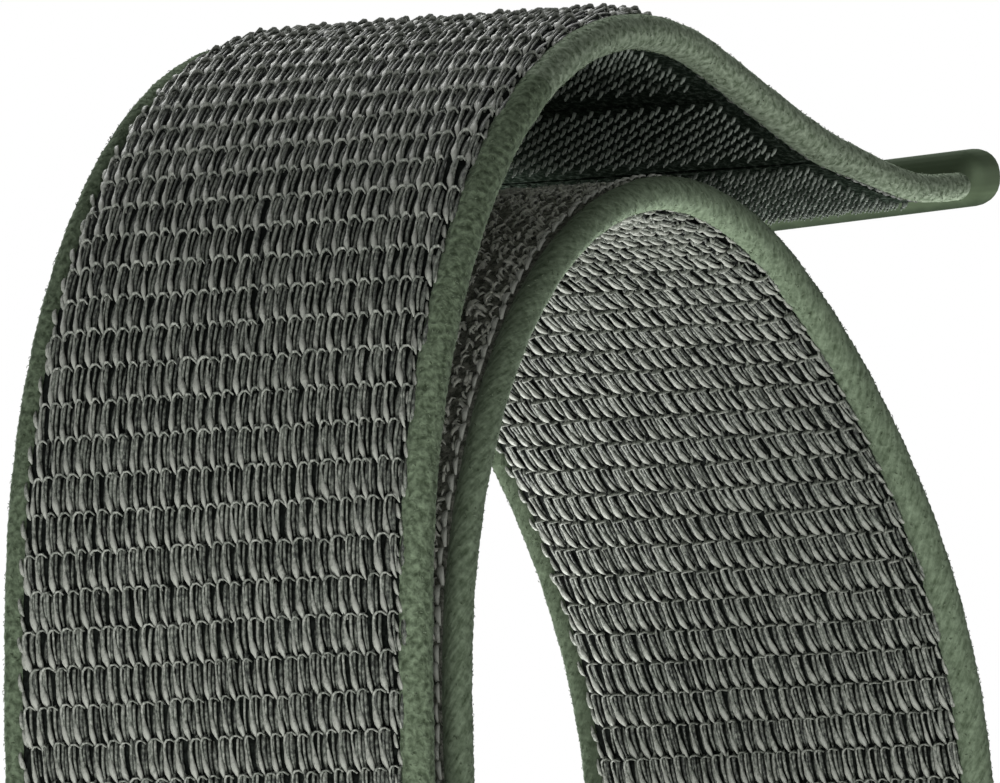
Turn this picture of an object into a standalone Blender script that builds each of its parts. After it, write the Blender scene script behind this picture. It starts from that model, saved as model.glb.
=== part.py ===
"""Woven nylon watch strap with a hook-and-loop tail and two slide-in lug connectors.

The strap stands on its connectors as it would with the watch taken out. X runs from the
left lug to the right one, Y across the band, Z up to the crown of the wrist loop.
"""

from math import atan2, ceil, cos, hypot, pi, radians, sin

import bmesh
import bpy
from mathutils import Vector

MM = 0.001

# Running and fitting gaps
CLEARANCE = 0.3 * MM
BAR_SLACK = 0.4 * MM

# Woven band
BAND_WIDTH = 24.0 * MM
RIM_RADIUS = 0.95 * MM
CORE_THICKNESS = 1.5 * MM
HOOK_DEPTH = 0.45 * MM
FABRIC_STEP = 2.6 * MM

# Where the two lug bars stand
BAR_SPACING = 49.0 * MM
BAR_HEIGHT = 4.5 * MM
LEFT_BAR_X = -23.06 * MM
BAR_RADIUS = 1.1 * MM
LEG_HEADING = radians(143)

# Bends of the wrist loop, from the left lug over the crown to the right lug
LOWER_LEG_RADIUS = 21.5 * MM
LEG_RADIUS = 90.0 * MM
INNER_SHOULDER_RADIUS = 27.0 * MM
CROWN_RADIUS = 28.0 * MM
SLOPE_RADIUS = 56.0 * MM
RIGHT_SHOULDER_RADIUS = 34.0 * MM
RIGHT_LEG_RADIUS = 24.0 * MM

# Bends of the outer layer, up beside the left leg, over its crest and down the tail
OUTER_SHOULDER_RADIUS = 34.0 * MM
CREST_RISE_RADIUS = 30.0 * MM
CREST_RADIUS = 27.0 * MM
TAIL_SLOPE = 12.0 * MM
VALLEY_RADIUS = 50.0 * MM
TIP_CURL_RADIUS = 36.0 * MM
TIP_STRAIGHT = 3.2 * MM

# Hinge lines of the peeled tail, measured along the outer layer
PEEL_AT = 37.0 * MM
FIRST_FLEX_AT = 90.0 * MM
SECOND_FLEX_AT = 101.0 * MM
HOOKS_START_AT = 79.5 * MM
HOOK_MARGIN = 0.9 * MM
TWIST_DROP = 1.3 * MM

# Solid end of the tail
TAB_LENGTH = 4.8 * MM
TAB_THICKNESS = 2.6 * MM

# Sewn return at the right lug
RETURN_LENGTH = 15.0 * MM
RETURN_TAPER = 10.0 * MM
STITCH_PITCH = 1.6 * MM
STITCH_WIDTH = 0.4 * MM
STITCH_HEIGHT = 0.3 * MM
SEAM_SWING = 0.4 * MM
SEAM_INSETS = (2.2 * MM, 4.6 * MM)

# Lug connector
EAR_THICKNESS = 1.3 * MM
EAR_RADIUS = 2.7 * MM
EAR_FOOT = 2.4 * MM
PLATE_STANDOFF = 0.5 * MM
PLATE_THICKNESS = 1.6 * MM
PLATE_RISE = 3.0 * MM
NECK_LENGTH = 0.8 * MM
NECK_HEIGHT = 2.4 * MM
RAIL_DEPTH = 4.6 * MM
RAIL_HEIGHT = 5.0 * MM
RAIL_LIFT = 1.0 * MM
RAIL_CHAMFER = 0.9 * MM
CUT_OVERRUN = 1.0 * MM

# Screws that hold the crossbar
BAR_INSET = 0.3 * MM
SCREW_HEAD_RADIUS = 1.9 * MM
SCREW_HEAD_THICKNESS = 0.7 * MM
SCREW_SHANK_RADIUS = 0.8 * MM

# Sprung latch in each connector's rail
LATCH_BORE_RADIUS = 1.8 * MM
LATCH_BORE_FLOOR = 0.6 * MM
LATCH_TRAVEL = 0.7 * MM
PIN_RADIUS = 0.65 * MM
COLLAR_RADIUS = 1.2 * MM
COLLAR_THICKNESS = 0.5 * MM
BUSH_LENGTH = 1.2 * MM
SPRING_WIRE_RADIUS = 0.15 * MM
SPRING_TURNS = 3
SPRING_POINTS_PER_TURN = 9

RIM_SIDES = 8
TURNED_SIDES = 20
TAB_SIDES = 14
DOME_ANGLES = (radians(30), radians(55), radians(76))

HALF_WIDTH = BAND_WIDTH / 2
RIM_CENTRE = HALF_WIDTH - RIM_RADIUS
CORE_HALF_WIDTH = HALF_WIDTH - 2 * RIM_RADIUS - CLEARANCE
FOLD_RADIUS = BAR_RADIUS + BAR_SLACK + RIM_RADIUS
LAYER_SPACING = 2 * FOLD_RADIUS
SOCKET_GAP = RIM_RADIUS + CLEARANCE


def clear_scene():
    for thing in list(bpy.data.objects):
        bpy.data.objects.remove(thing, do_unlink=True)


def material(name, colour, roughness, metallic=0.0):
    """A plain finish: colour is linear red, green and blue."""
    made = bpy.data.materials.new(name)
    made.use_nodes = True
    shader = made.node_tree.nodes["Principled BSDF"]
    shader.inputs["Base Color"].default_value = (*colour, 1.0)
    shader.inputs["Roughness"].default_value = roughness
    shader.inputs["Metallic"].default_value = metallic
    return made


def add_object(name, mesh, finish):
    mesh.materials.append(finish)
    made = bpy.data.objects.new(name, mesh)
    bpy.context.scene.collection.objects.link(made)
    return made


def loft(work, rings, closed_loop=False):
    """Join rings of points, each to the next, and cap the ends unless the rings form a loop."""
    rows = [[work.verts.new(point) for point in ring] for ring in rings]
    pairs = list(zip(rows[:-1], rows[1:]))
    if closed_loop:
        pairs.append((rows[-1], rows[0]))
    for here, there in pairs:
        for index in range(len(here)):
            after = (index + 1) % len(here)
            work.faces.new((here[index], here[after], there[after], there[index]))
    if not closed_loop:
        work.faces.new(rows[0])
        work.faces.new(rows[-1])


def finish_mesh(work, name, finish, origin=Vector(), smooth_below=radians(40)):
    """Turn the faces outwards, shade the round ones smooth and set the object's origin."""
    bmesh.ops.recalc_face_normals(work, faces=work.faces[:])
    bmesh.ops.translate(work, verts=work.verts[:], vec=-origin)
    mesh = bpy.data.meshes.new(name)
    work.to_mesh(mesh)
    work.free()
    mesh.shade_smooth()
    mesh.set_sharp_from_angle(angle=smooth_below)
    made = add_object(name, mesh, finish)
    made.location = origin
    return made


# Routes: a route is a chain of stretches in the XZ plane

def lay_route(start, heading, bends):
    """Chain straights (length, 0) and bends (radius, turn); a positive turn is clockwise."""
    stretches = []
    x, z = start
    along = 0.0
    for size, turn in bends:
        length = size * abs(turn) if turn else size
        stretches.append((along, x, z, heading, size, turn, length))
        x, z, heading = step_on(stretches[-1], length)
        along += length
    return stretches


def step_on(stretch, distance):
    """Point and heading at a distance into one stretch."""
    _, x, z, heading, size, turn, _ = stretch
    if not turn:
        return x + distance * cos(heading), z + distance * sin(heading), heading
    side = 1 if turn > 0 else -1
    later = heading - side * distance / size
    centre_x = x + side * size * sin(heading)
    centre_z = z - side * size * cos(heading)
    return centre_x - side * size * sin(later), centre_z + side * size * cos(later), later


def place_on(route, along):
    """Point and heading at a distance along a route; its end stretches run on past the ends."""
    chosen = route[0]
    for stretch in route:
        if along >= stretch[0]:
            chosen = stretch
    return step_on(chosen, along - chosen[0])


def route_length(route):
    return route[-1][0] + route[-1][6]


def stations(start, end, step):
    """Evenly spaced distances from start to end, no further apart than step."""
    count = max(1, ceil((end - start) / step))
    return [start + (end - start) * index / count for index in range(count + 1)]


def no_lean(along, y):
    return 0.0


def tail_lean(along, y):
    """Drop of the tail's far edge, which twists away from the second flex line to the tip."""
    share = max(0.0, (along - SECOND_FLEX_AT) / (TAIL_END_AT - SECOND_FLEX_AT))
    return -TWIST_DROP * min(1.0, share) * (y + HALF_WIDTH) / BAND_WIDTH


def trail(point_at, start, end, step, dome=0.0):
    """Frames (x, z, heading, along, thickness share) from start to end, rounded past the end."""
    frames = [(*point_at(along), along, 1.0) for along in stations(start, end, step)]
    if dome:
        x, z, heading = point_at(end)
        for angle in DOME_ANGLES:
            reach = dome * sin(angle)
            frames.append((x + reach * cos(heading), z + reach * sin(heading), heading,
                           end + reach, cos(angle)))
    return frames


def slab_rings(frames, low, high, half_width, lean):
    """Flat band rings; low and high are heights over the route, outwards positive."""
    rings = []
    middle = (low + high) / 2
    half = (high - low) / 2
    for x, z, heading, along, share in frames:
        ring = []
        for level, y in ((middle - half * share, -half_width), (middle - half * share, half_width),
                         (middle + half * share, half_width), (middle + half * share, -half_width)):
            ring.append(Vector((x - level * sin(heading), y,
                                z + level * cos(heading) + lean(along, y))))
        rings.append(ring)
    return rings


def rim_rings(frames, y, radius, lean):
    """Round rim rings about a line parallel to the route at one y."""
    rings = []
    for x, z, heading, along, share in frames:
        ring = []
        for index in range(RIM_SIDES):
            angle = 2 * pi * (index + 0.5) / RIM_SIDES
            level = radius * share * cos(angle)
            across = y + radius * share * sin(angle)
            ring.append(Vector((x - level * sin(heading), across,
                                z + level * cos(heading) + lean(along, y))))
        rings.append(ring)
    return rings


def band_piece(name, point_at, start, end, origin, finishes, rounded=True, step=FABRIC_STEP,
               lean=no_lean):
    """One stretch of woven band: its flat core and the two rims beside it."""
    prefix, core_name = name
    core_dome = CORE_THICKNESS / 2 if rounded else 0.0
    rim_dome = RIM_RADIUS if rounded else 0.0
    work = bmesh.new()
    frames = trail(point_at, start, end, step, core_dome)
    loft(work, slab_rings(frames, -CORE_THICKNESS / 2, CORE_THICKNESS / 2, CORE_HALF_WIDTH, lean))
    finish_mesh(work, core_name, finishes["weave"], origin)
    for side, y in (("near", -RIM_CENTRE), ("far", RIM_CENTRE)):
        work = bmesh.new()
        frames = trail(point_at, start, end, step, rim_dome)
        loft(work, rim_rings(frames, y, RIM_RADIUS, lean))
        finish_mesh(work, f"{prefix}_{side}", finishes["rim"], origin)


def hook_patch(name, point_at, start, end, origin, finish, lean=no_lean):
    """A field of hooks on the tail's underside, as one thin pad."""
    top = -CORE_THICKNESS / 2 - CLEARANCE
    work = bmesh.new()
    frames = trail(point_at, start, end, FABRIC_STEP)
    loft(work, slab_rings(frames, top - HOOK_DEPTH, top, CORE_HALF_WIDTH, lean))
    finish_mesh(work, name, finish, origin)


# The two routes that the strap follows

def wrist_route():
    """Route of the wrist loop, closed by one bend that meets the right lug bar."""
    left_bar = (LEFT_BAR_X, BAR_HEIGHT)
    start = (left_bar[0] + FOLD_RADIUS * sin(LEG_HEADING),
             left_bar[1] - FOLD_RADIUS * cos(LEG_HEADING))
    bends = [(LOWER_LEG_RADIUS, radians(48)), (LEG_RADIUS, radians(4)),
             (INNER_SHOULDER_RADIUS, radians(51)), (CROWN_RADIUS, radians(63)),
             (SLOPE_RADIUS, radians(18)), (RIGHT_SHOULDER_RADIUS, radians(16)),
             (RIGHT_LEG_RADIUS, radians(20))]
    opened = lay_route(start, LEG_HEADING, bends)
    x, z, heading = place_on(opened, route_length(opened))
    inward = (sin(heading), -cos(heading))
    away = (x - RIGHT_BAR_X, z - BAR_HEIGHT)
    reach = away[0] ** 2 + away[1] ** 2 - FOLD_RADIUS ** 2
    radius = reach / (2 * (FOLD_RADIUS - inward[0] * away[0] - inward[1] * away[1]))
    centre = (x + radius * inward[0], z + radius * inward[1])
    last = atan2(BAR_HEIGHT - centre[1], RIGHT_BAR_X - centre[0]) - pi / 2
    bends.append((radius, heading - last))
    return lay_route(start, LEG_HEADING, bends)


def outer_route():
    """Route of the outer layer, which starts beside the wrist loop at the left lug."""
    start = (LEFT_BAR_X - FOLD_RADIUS * sin(LEG_HEADING),
             BAR_HEIGHT + FOLD_RADIUS * cos(LEG_HEADING))
    bends = [(LOWER_LEG_RADIUS + LAYER_SPACING, radians(48)),
             (LEG_RADIUS + LAYER_SPACING, radians(7.5)),
             (OUTER_SHOULDER_RADIUS, radians(34)), (CREST_RISE_RADIUS, radians(18.5)),
             (CREST_RADIUS, radians(47)), (TAIL_SLOPE, 0.0), (VALLEY_RADIUS, radians(-14)),
             (TIP_CURL_RADIUS, radians(-8)), (TIP_STRAIGHT + TAB_LENGTH, 0.0)]
    return lay_route(start, LEG_HEADING, bends)


def crown_distance(route):
    """Distance along the wrist loop to its highest point, where it runs level."""
    crown = route[3]
    return crown[0] + CROWN_RADIUS * crown[3]


def on_route(route):
    return lambda along: place_on(route, along)


def left_fold_point(route):
    """Path round the left lug bar, from the wrist loop to the outer layer."""
    _, x, z, heading, _, _, _ = route[0]
    return on_route(lay_route((x, z), heading + pi, [(FOLD_RADIUS, pi)]))


def right_fold_point(route):
    """Path round the right lug bar and back up the outside of the leg as the sewn return."""
    end = route_length(route)
    x, z, heading = place_on(route, end)
    turn = lay_route((x, z), heading, [(FOLD_RADIUS, -pi)])
    wrap = FOLD_RADIUS * pi
    close = 2 * RIM_RADIUS + CLEARANCE
    tiny = FABRIC_STEP * 0.01

    def beside(distance):
        share = min(1.0, distance / RETURN_TAPER)
        eased = share * share * (3 - 2 * share)
        level = LAYER_SPACING + (close - LAYER_SPACING) * eased
        base_x, base_z, base_heading = place_on(route, end - distance)
        return base_x - level * sin(base_heading), base_z + level * cos(base_heading)

    def point_at(along):
        if along <= wrap:
            return place_on(turn, along)
        here = beside(along - wrap)
        there = beside(along - wrap + tiny)
        return (*here, atan2(there[1] - here[1], there[0] - here[0]))

    return point_at


# Pieces of the strap

def wrist_loop(route, crown, finishes):
    origin = Vector((crown[0], 0.0, crown[1]))
    point_at = on_route(route)
    at_crown = crown_distance(route)
    band_piece(("wrist_rim_left", "wrist_band_left"), point_at, CLEARANCE, at_crown,
               origin, finishes)
    band_piece(("wrist_rim_right", "wrist_band_right"), point_at, at_crown + SOCKET_GAP,
               route_length(route) - CLEARANCE, origin, finishes, rounded=False)


def lug_folds(route, finishes):
    left_bar = Vector((LEFT_BAR_X, 0.0, BAR_HEIGHT))
    right_bar = Vector((RIGHT_BAR_X, 0.0, BAR_HEIGHT))
    wrap = FOLD_RADIUS * pi
    fine_step = wrap / 8
    band_piece(("fold_rim_left", "lug_fold_left"), left_fold_point(route), 0.0, wrap,
               left_bar, finishes, rounded=False, step=fine_step)
    band_piece(("fold_rim_right", "lug_fold_right"), right_fold_point(route), 0.0,
               wrap + RETURN_LENGTH, right_bar, finishes, rounded=False, step=fine_step)


def return_seams(route, finish):
    """Two zigzag rows of thread across the sewn return, each one unbroken strand."""
    point_at = right_fold_point(route)
    end = FOLD_RADIUS * pi + RETURN_LENGTH
    low = CORE_THICKNESS / 2 + CLEARANCE
    count = 2 * int((CORE_HALF_WIDTH - STITCH_PITCH) / STITCH_PITCH)
    for row, inset in zip(("upper", "lower"), SEAM_INSETS):
        x, z, heading = point_at(end - inset)
        rings = []
        for index in range(count + 1):
            across = (index - count / 2) * STITCH_PITCH
            swing = SEAM_SWING if index % 2 else -SEAM_SWING
            ring = []
            for along, level in ((-STITCH_WIDTH / 2, low), (STITCH_WIDTH / 2, low),
                                 (STITCH_WIDTH / 2, low + STITCH_HEIGHT),
                                 (-STITCH_WIDTH / 2, low + STITCH_HEIGHT)):
                ahead = along + swing
                ring.append(Vector((x + ahead * cos(heading) + level * sin(heading), across,
                                    z + ahead * sin(heading) - level * cos(heading))))
            rings.append(ring)
        work = bmesh.new()
        loft(work, rings)
        finish_mesh(work, f"return_seam_{row}", finish, Vector((x, 0.0, z)))


def outer_layer(route, finishes):
    """The attached outer layer and the three parts of the peeled tail."""
    point_at = on_route(route)
    peel = hinge_point(route, PEEL_AT)
    first = hinge_point(route, FIRST_FLEX_AT)
    second = hinge_point(route, SECOND_FLEX_AT)
    band_piece(("outer_rim", "outer_band"), point_at, CLEARANCE, PEEL_AT, peel, finishes)
    band_piece(("tail_rim_root", "tail_band_root"), point_at, PEEL_AT + SOCKET_GAP,
               FIRST_FLEX_AT, peel, finishes)
    band_piece(("tail_rim_middle", "tail_band_middle"), point_at, FIRST_FLEX_AT + SOCKET_GAP,
               SECOND_FLEX_AT, first, finishes)
    band_piece(("tail_rim_end", "tail_band_end"), point_at, SECOND_FLEX_AT + SOCKET_GAP,
               TAIL_END_AT, second, finishes, rounded=False, lean=tail_lean)
    hook_patch("hook_patch_root", point_at, HOOKS_START_AT, FIRST_FLEX_AT - HOOK_MARGIN,
               peel, finishes["hooks"])
    hook_patch("hook_patch_middle", point_at, FIRST_FLEX_AT + SOCKET_GAP,
               SECOND_FLEX_AT - HOOK_MARGIN, first, finishes["hooks"])
    hook_patch("hook_patch_end", point_at, SECOND_FLEX_AT + SOCKET_GAP,
               TAIL_END_AT, second, finishes["hooks"], lean=tail_lean)
    end_tab(point_at, second, finishes["tab"])


def hinge_point(route, along):
    x, z, _ = place_on(route, along)
    return Vector((x, 0.0, z))


def end_tab(point_at, origin, finish):
    """The smooth bar across the end of the tail, round in section and at both ends."""
    half_length = TAB_LENGTH / 2
    x, z, heading = point_at(TAIL_END_AT + CLEARANCE + half_length)
    end_round = TAB_THICKNESS / 2
    outline = [(-HALF_WIDTH + end_round * (1 - cos(pi / 2 - angle)), sin(pi / 2 - angle))
               for angle in reversed(DOME_ANGLES)]
    outline += [(-HALF_WIDTH + end_round, 1.0), (HALF_WIDTH - end_round, 1.0)]
    outline += [(-y, share) for y, share in reversed(outline[:len(DOME_ANGLES)])]
    work = bmesh.new()
    rings = []
    for y, share in outline:
        ring = []
        for index in range(TAB_SIDES):
            angle = 2 * pi * index / TAB_SIDES
            ahead = (half_length - end_round * (1 - share)) * cos(angle)
            level = share * TAB_THICKNESS / 2 * sin(angle)
            ring.append(Vector((x + ahead * cos(heading) - level * sin(heading), y,
                                z + ahead * sin(heading) + level * cos(heading)
                                + tail_lean(TAIL_END_AT, y))))
        rings.append(ring)
    loft(work, rings)
    finish_mesh(work, "tail_end_tab", finish, origin)


# Lug connectors

def turned(name, outline, centre, axis, finish, closed_loop=False):
    """A round piece: outline is (distance along the axis, radius) from the centre."""
    work = bmesh.new()
    turned_into(work, outline, centre, axis, closed_loop)
    finish_mesh(work, name, finish, centre)


def turned_into(work, outline, centre, axis, closed_loop=False):
    rings = []
    for distance, radius in outline:
        ring = []
        for index in range(TURNED_SIDES):
            angle = 2 * pi * (index + 0.5) / TURNED_SIDES
            across = radius * cos(angle)
            up = radius * sin(angle)
            if axis == "Y":
                ring.append(centre + Vector((across, distance, up)))
            else:
                ring.append(centre + Vector((across, up, distance)))
        rings.append(ring)
    loft(work, rings, closed_loop)


def prism(name, outline, half_length, place):
    """An outline of (towards the case, up) points, drawn out along Y to both sides."""
    work = bmesh.new()
    loft(work, [[place(ahead, y, up) for ahead, up in outline] for y in (-half_length, half_length)])
    bmesh.ops.recalc_face_normals(work, faces=work.faces[:])
    mesh = bpy.data.meshes.new(name)
    work.to_mesh(mesh)
    work.free()
    return mesh


def subtract(target, name, mesh):
    """Cut a guide shape out of a piece."""
    cutter = bpy.data.objects.new(name, mesh)
    bpy.context.scene.collection.objects.link(cutter)
    cutter.hide_render = True
    cutter.display_type = "WIRE"
    cut = target.modifiers.new(name, "BOOLEAN")
    cut.operation = "DIFFERENCE"
    cut.solver = "EXACT"
    cut.object = cutter


def frame_outline():
    """Side view of a connector, ear, plate, neck and rail, from the crossbar's axis."""
    plate_near = FOLD_RADIUS + RIM_RADIUS + PLATE_STANDOFF
    plate_far = plate_near + PLATE_THICKNESS
    rail_near = plate_far + NECK_LENGTH
    rail_far = rail_near + RAIL_DEPTH
    floor = -BAR_HEIGHT
    rail_low = floor + RAIL_LIFT
    rail_high = rail_low + RAIL_HEIGHT
    rail_middle = (rail_low + rail_high) / 2
    neck_low = rail_middle - NECK_HEIGHT / 2
    neck_high = rail_middle + NECK_HEIGHT / 2
    outline = [(-EAR_FOOT, floor), (plate_far, floor), (plate_far, neck_low),
               (rail_near, neck_low), (rail_near, rail_low + RAIL_CHAMFER),
               (rail_near + RAIL_CHAMFER, rail_low), (rail_far - RAIL_CHAMFER, rail_low),
               (rail_far, rail_low + RAIL_CHAMFER), (rail_far, rail_high - RAIL_CHAMFER),
               (rail_far - RAIL_CHAMFER, rail_high), (rail_near + RAIL_CHAMFER, rail_high),
               (rail_near, rail_high - RAIL_CHAMFER), (rail_near, neck_high),
               (plate_far, neck_high), (plate_far, PLATE_RISE), (plate_near, PLATE_RISE)]
    for step in range(9):
        angle = radians(75 + 110 * step / 8)
        outline.append((EAR_RADIUS * cos(angle), EAR_RADIUS * sin(angle)))
    return outline, plate_near, plate_far, rail_near, rail_far, rail_low, rail_high


def lug_connector(side, bar_x, inward, finishes):
    """A slide-in connector: ears that hold the crossbar, a rail for the case, a sprung latch."""
    centre = Vector((bar_x, 0.0, BAR_HEIGHT))
    outline, plate_near, plate_far, rail_near, rail_far, rail_low, rail_high = frame_outline()
    ear_inside = HALF_WIDTH + CLEARANCE
    ear_outside = ear_inside + EAR_THICKNESS

    def place(ahead, y, up):
        return Vector((inward * ahead, y, up))

    frame = add_object(f"lug_frame_{side}", prism(f"lug_frame_{side}", outline, ear_outside, place),
                       finishes["steel"])
    frame.location = centre
    pocket = [(-EAR_RADIUS - CUT_OVERRUN, -BAR_HEIGHT - CUT_OVERRUN),
              (plate_near, -BAR_HEIGHT - CUT_OVERRUN), (plate_near, PLATE_RISE + CUT_OVERRUN),
              (-EAR_RADIUS - CUT_OVERRUN, PLATE_RISE + CUT_OVERRUN)]
    cut_centre = Vector((0.0, 0.0, 0.0))
    cutters = [(f"pocket_{side}", prism(f"pocket_{side}", pocket, ear_inside, place))]
    cutters.append((f"bar_hole_{side}",
                    round_cutter(BAR_RADIUS + CLEARANCE, -ear_outside - CUT_OVERRUN,
                                 ear_outside + CUT_OVERRUN, cut_centre, "Y")))
    rail_middle = (rail_near + rail_far) / 2
    latch_centre = Vector((inward * rail_middle, 0.0, 0.0))
    bore_floor = rail_low + LATCH_BORE_FLOOR
    cutters.append((f"latch_bore_{side}",
                    round_cutter(LATCH_BORE_RADIUS, bore_floor, rail_high + CUT_OVERRUN,
                                 latch_centre, "Z")))
    for name, mesh in cutters:
        subtract(frame, name, mesh)
        bpy.data.objects[name].location = centre
    bar_end = ear_outside - BAR_INSET
    turned(f"crossbar_{side}", [(-bar_end, BAR_RADIUS), (bar_end, BAR_RADIUS)], centre, "Y",
           finishes["pin"])
    crossbar_screws(side, centre, ear_outside, finishes["pin"])
    latch(side, centre + latch_centre, bore_floor, rail_high, finishes)


def round_cutter(radius, low, high, centre, axis):
    work = bmesh.new()
    turned_into(work, [(low, radius), (high, radius)], centre, axis)
    bmesh.ops.recalc_face_normals(work, faces=work.faces[:])
    mesh = bpy.data.meshes.new("round_cutter")
    work.to_mesh(mesh)
    work.free()
    return mesh


def crossbar_screws(side, centre, ear_outside, finish):
    """A headed screw at each end of the crossbar."""
    seat = ear_outside + CLEARANCE
    tip = ear_outside - BAR_INSET + CLEARANCE
    chamfer = SCREW_HEAD_THICKNESS / 3
    outline = [(tip, SCREW_SHANK_RADIUS), (seat, SCREW_SHANK_RADIUS), (seat, SCREW_HEAD_RADIUS),
               (seat + SCREW_HEAD_THICKNESS - chamfer, SCREW_HEAD_RADIUS),
               (seat + SCREW_HEAD_THICKNESS, SCREW_HEAD_RADIUS - chamfer)]
    for place, way in (("near", -1), ("far", 1)):
        turned(f"crossbar_screw_{side}_{place}",
               [(way * distance, radius) for distance, radius in outline], centre, "Y", finish)


def latch(side, centre, bore_floor, rail_high, finishes):
    """Pin with a collar, the bush that keeps it in, and the coil spring under it."""
    bush_low = rail_high - BUSH_LENGTH
    collar_high = bush_low - CLEARANCE
    collar_low = collar_high - COLLAR_THICKNESS
    pin_high = rail_high + LATCH_TRAVEL
    tip = PIN_RADIUS / 2
    turned(f"latch_pin_{side}",
           [(collar_low, COLLAR_RADIUS), (collar_high, COLLAR_RADIUS), (collar_high, PIN_RADIUS),
            (pin_high - tip, PIN_RADIUS), (pin_high, PIN_RADIUS - tip)],
           centre, "Z", finishes["pin"])
    inside = PIN_RADIUS + CLEARANCE
    outside = LATCH_BORE_RADIUS - CLEARANCE
    turned(f"latch_bush_{side}",
           [(bush_low, inside), (bush_low, outside), (rail_high, outside), (rail_high, inside)],
           centre, "Z", finishes["pin"], closed_loop=True)
    latch_spring(side, centre, bore_floor + CLEARANCE, collar_low - CLEARANCE, finishes["pin"])


def latch_spring(side, centre, low, high, finish):
    """The coil spring under the latch pin, one unbroken wire."""
    coil_radius = COLLAR_RADIUS - SPRING_WIRE_RADIUS
    curve = bpy.data.curves.new(f"latch_spring_{side}", "CURVE")
    curve.dimensions = "3D"
    curve.bevel_depth = SPRING_WIRE_RADIUS
    curve.bevel_resolution = 1
    curve.use_fill_caps = True
    spline = curve.splines.new("POLY")
    count = SPRING_TURNS * SPRING_POINTS_PER_TURN
    spline.points.add(count)
    bottom = low + SPRING_WIRE_RADIUS
    rise = high - low - 2 * SPRING_WIRE_RADIUS
    for index in range(count + 1):
        angle = 2 * pi * index / SPRING_POINTS_PER_TURN
        spline.points[index].co = (coil_radius * cos(angle), coil_radius * sin(angle),
                                   bottom + rise * index / count, 1.0)
    curve.materials.append(finish)
    made = bpy.data.objects.new(f"latch_spring_{side}", curve)
    made.location = centre
    bpy.context.scene.collection.objects.link(made)


def build():
    clear_scene()
    finishes = {
        "weave": material("woven_nylon", (0.12, 0.125, 0.115), 0.85),
        "rim": material("knitted_rim", (0.105, 0.155, 0.095), 0.9),
        "hooks": material("hook_pad", (0.02, 0.028, 0.022), 0.7),
        "tab": material("end_tab_nylon", (0.06, 0.095, 0.055), 0.75),
        "thread": material("sewing_thread", (0.09, 0.13, 0.085), 0.8),
        "steel": material("lug_steel", (0.55, 0.55, 0.54), 0.35, 1.0),
        "pin": material("pin_steel", (0.6, 0.6, 0.6), 0.25, 1.0),
    }
    wrist = wrist_route()
    outer = outer_route()
    crown = place_on(wrist, crown_distance(wrist))
    wrist_loop(wrist, crown, finishes)
    lug_folds(wrist, finishes)
    return_seams(wrist, finishes["thread"])
    outer_layer(outer, finishes)
    lug_connector("left", LEFT_BAR_X, 1, finishes)
    lug_connector("right", RIGHT_BAR_X, -1, finishes)


RIGHT_BAR_X = LEFT_BAR_X + BAR_SPACING
TAIL_END_AT = route_length(outer_route()) - TAB_LENGTH - CLEARANCE

build()
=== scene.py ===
"""Looks of the nylon watch strap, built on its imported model.

The strap is one long woven strip. It starts at the peeled tail, comes down beside the left leg,
turns round the left lug bar, runs up and over the wrist loop and ends in a sewn return at the
right lug bar. Metres; X from the left lug to the right one, Y across the band, Z up.
"""

from math import atan2, cos, pi, radians, sin

import bpy
import numpy as np
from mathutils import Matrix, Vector


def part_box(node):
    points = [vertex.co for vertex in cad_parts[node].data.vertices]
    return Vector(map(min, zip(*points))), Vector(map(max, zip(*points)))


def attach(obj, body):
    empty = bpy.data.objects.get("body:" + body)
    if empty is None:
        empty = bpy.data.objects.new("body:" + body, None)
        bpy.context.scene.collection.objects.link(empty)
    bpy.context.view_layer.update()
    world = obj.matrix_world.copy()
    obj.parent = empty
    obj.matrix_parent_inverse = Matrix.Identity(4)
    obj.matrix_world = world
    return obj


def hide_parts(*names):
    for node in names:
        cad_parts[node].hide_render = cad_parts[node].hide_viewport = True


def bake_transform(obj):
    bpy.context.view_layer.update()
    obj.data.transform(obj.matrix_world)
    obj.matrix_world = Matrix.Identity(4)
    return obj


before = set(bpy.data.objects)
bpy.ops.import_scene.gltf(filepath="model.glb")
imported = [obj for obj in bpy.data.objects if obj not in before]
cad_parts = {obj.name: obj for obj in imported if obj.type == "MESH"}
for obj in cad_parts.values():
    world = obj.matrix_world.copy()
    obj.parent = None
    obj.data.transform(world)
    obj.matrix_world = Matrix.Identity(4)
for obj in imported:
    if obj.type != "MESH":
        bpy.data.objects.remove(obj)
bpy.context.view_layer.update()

MM = 0.001


# Camera: a long lens from low on the left, beside the near edge of the strap

LENS_DISTANCE = 0.88
lens_target = Vector((-2.96, 0.0, 46.5)) * MM
lens_back = Vector((-0.8917, -0.4349, -0.1253)).normalized()
camera_data = bpy.data.cameras.new("photo_camera")
camera_data.sensor_width = 36.0
camera_data.lens = 607.1
camera_data.clip_start = 0.05
camera_data.clip_end = 5.0
photo_camera = bpy.data.objects.new("photo_camera", camera_data)
photo_camera.location = lens_target + lens_back * LENS_DISTANCE
photo_camera.rotation_euler = lens_back.to_track_quat("Z", "Y").to_euler()
bpy.context.scene.collection.objects.link(photo_camera)
bpy.context.scene.camera = photo_camera
bpy.context.scene.view_settings.view_transform = "Standard"


# Light: softboxes behind and above the strap, low on its left and near sides, and one below the
# floor, which casts no shadow and so lets that light through

def softbox(name, direction, distance, size, power):
    """A square area lamp that faces the middle of the strap."""
    lamp = bpy.data.lights.new(name, "AREA")
    lamp.shape = "SQUARE"
    lamp.size = size
    lamp.energy = power
    box = bpy.data.objects.new(name, lamp)
    towards = Vector(direction).normalized()
    box.location = lens_target + towards * distance
    box.rotation_euler = towards.to_track_quat("Z", "Y").to_euler()
    box.visible_camera = False
    bpy.context.scene.collection.objects.link(box)


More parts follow.
